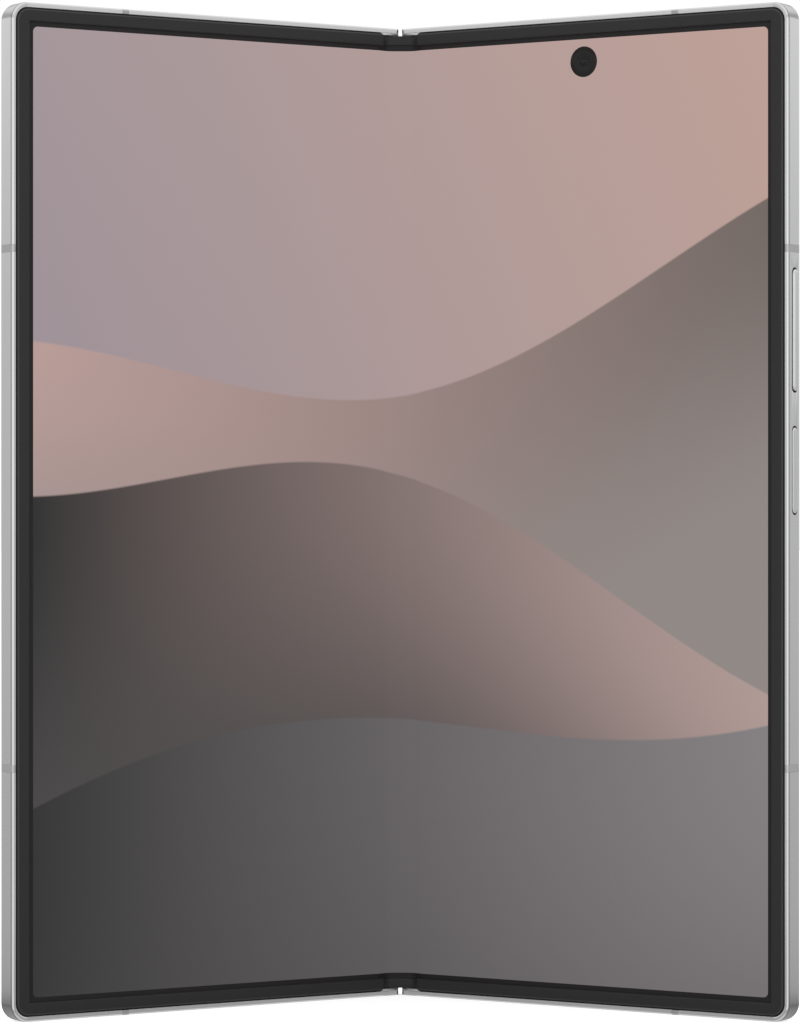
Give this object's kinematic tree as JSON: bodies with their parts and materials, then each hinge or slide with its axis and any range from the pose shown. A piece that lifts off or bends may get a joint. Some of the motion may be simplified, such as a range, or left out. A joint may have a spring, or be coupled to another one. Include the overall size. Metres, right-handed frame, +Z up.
{
  "type": "foldable smartphone",
  "caption": "Book-style folding phone, half open, with an inner display across both halves, a geared virtual-axis hinge in a spine, side keys, a card tray and a rear camera island.",
  "frame": {"origin": "middle of the footprint, on the surface that the lower edges stand on", "axes": "+Z up along the fold, the inner display faces -Y, +X to the right as seen from the display side"},
  "size_m": [0.1242, 0.0416, 0.1584],
  "materials": {
    "frame_metal": "satin anodised",
    "band_plastic": "satin moulded",
    "bezel_plastic": "fine matt",
    "display_film": "clear glossy film over a lit picture",
    "back_glass": "matt etched",
    "cover_glass": "polished",
    "lens_glass": "polished",
    "ring_metal": "turned and polished",
    "flash_diffuser": "milky clear",
    "hinge_steel": "fine brushed",
    "screw_steel": "plain",
    "gear_brass": "cut teeth",
    "key_metal": "satin anodised",
    "camera_body": "moulded",
    "circuit_board": "solder mask",
    "shield_tin": "tinned",
    "battery_foil": "foil laminate pouch",
    "copper": "bare copper colour",
    "sound_plastic": "moulded",
    "motor_steel": "plain",
    "cover_panel": "dark when off"
  },
  "bodies": {
    "spine": {"spine_cover": "hinge_steel", "hinge_base_lower": "hinge_steel", "hinge_base_upper": "hinge_steel", "timing_base": "hinge_steel", "hinge_base_screws": "screw_steel", "disc_springs": "hinge_steel", "hinge_flex_cables": "copper", "display_fold": "display_film", "hinge_cap_lower": "bezel_plastic", "hinge_cap_upper": "bezel_plastic"},
    "right_half": {"right_frame": "frame_metal", "right_antenna_bands": "band_plastic", "right_bezel": "bezel_plastic", "right_display": "display_film", "rear_glass": "back_glass", "camera_island": "frame_metal", "lens_rings": "ring_metal", "lens_glasses": "lens_glass", "flash_lamp": "flash_diffuser", "rear_cameras": "camera_body", "front_camera": "camera_body", "main_board": "circuit_board", "board_shields": "shield_tin", "right_battery": "battery_foil", "charging_coil": "copper", "charging_port": "shield_tin", "loudspeaker": "sound_plastic", "right_hinge_arms": "hinge_steel", "right_slot_plate": "hinge_steel", "right_arm_screws": "screw_steel", "key_switches": "copper"},
    "left_half": {"left_frame": "frame_metal", "left_antenna_bands": "band_plastic", "left_bezel": "bezel_plastic", "left_display": "display_film", "cover_glass": "cover_glass", "cover_display": "cover_panel", "cover_camera": "camera_body", "left_battery": "battery_foil", "left_board": "circuit_board", "earpiece": "sound_plastic", "vibration_motor": "motor_steel", "left_hinge_arms": "hinge_steel", "left_slot_plate": "hinge_steel", "left_arm_screws": "screw_steel"},
    "power_key": {"power_key": "key_metal"},
    "volume_key": {"volume_key": "key_metal"},
    "card_tray": {"card_tray": "key_metal"},
    "right_timing_arm": {"right_timing_arm": "hinge_steel"},
    "left_timing_arm": {"left_timing_arm": "hinge_steel"},
    "right_idler_gear": {"right_idler_gear": "gear_brass"},
    "left_idler_gear": {"left_idler_gear": "gear_brass"}
  },
  "joints": [
    {"name": "right_fold", "type": "hinge", "parent": "spine", "child": "right_half", "pos_m": [0.00133, 0.01762, 0.0792], "axis": [0, 0, -1], "range_deg": [-32.5, 57.5], "deforming": ["display_fold", "hinge_cap_lower", "hinge_cap_upper", "hinge_flex_cables"]},
    {"name": "left_fold", "type": "hinge", "parent": "spine", "child": "left_half", "pos_m": [-0.00133, 0.01762, 0.0792], "axis": [0, 0, 1], "range_deg": [-32.5, 57.5], "deforming": ["display_fold", "hinge_cap_lower", "hinge_cap_upper", "hinge_flex_cables"]},
    {"name": "right_timing_turn", "type": "hinge", "parent": "spine", "child": "right_timing_arm", "pos_m": [0.0021, 0.0186, 0.0792], "axis": [0, 0, -1], "range_deg": [-32.5, 57.5]},
    {"name": "left_timing_turn", "type": "hinge", "parent": "spine", "child": "left_timing_arm", "pos_m": [-0.0021, 0.0186, 0.0792], "axis": [0, 0, 1], "range_deg": [-32.5, 57.5]},
    {"name": "right_idler_turn", "type": "hinge", "parent": "spine", "child": "right_idler_gear", "pos_m": [0.0007, 0.0186, 0.0792], "axis": [0, 0, -1], "range_deg": [-57.5, 32.5]},
    {"name": "left_idler_turn", "type": "hinge", "parent": "spine", "child": "left_idler_gear", "pos_m": [-0.0007, 0.0186, 0.0792], "axis": [0, 0, 1], "range_deg": [-57.5, 32.5]},
    {"name": "power_key_press", "type": "slide", "parent": "right_half", "child": "power_key", "axis": [-0.8434, 0.5373, 0], "range_m": [0, 0.00025], "stiffness_N_per_m": 4000},
    {"name": "volume_key_rock", "type": "hinge", "parent": "right_half", "child": "volume_key", "pos_m": [0.06058, -0.01867, 0.10745], "axis": [0.5373, 0.8434, 0], "range_deg": [-1.2, 1.2], "stiffness_Nm_per_rad": 0.4},
    {"name": "card_tray_slide", "type": "slide", "parent": "left_half", "child": "card_tray", "axis": [0, 0, -1], "range_m": [0, 0.0125]}
  ],
  "couplings": [
    {"joint": "left_fold", "follows": "right_fold", "ratio": 1},
    {"joint": "right_timing_turn", "follows": "right_fold", "ratio": 1},
    {"joint": "left_timing_turn", "follows": "right_fold", "ratio": 1},
    {"joint": "right_idler_turn", "follows": "right_fold", "ratio": -1},
    {"joint": "left_idler_turn", "follows": "right_fold", "ratio": -1}
  ]
}
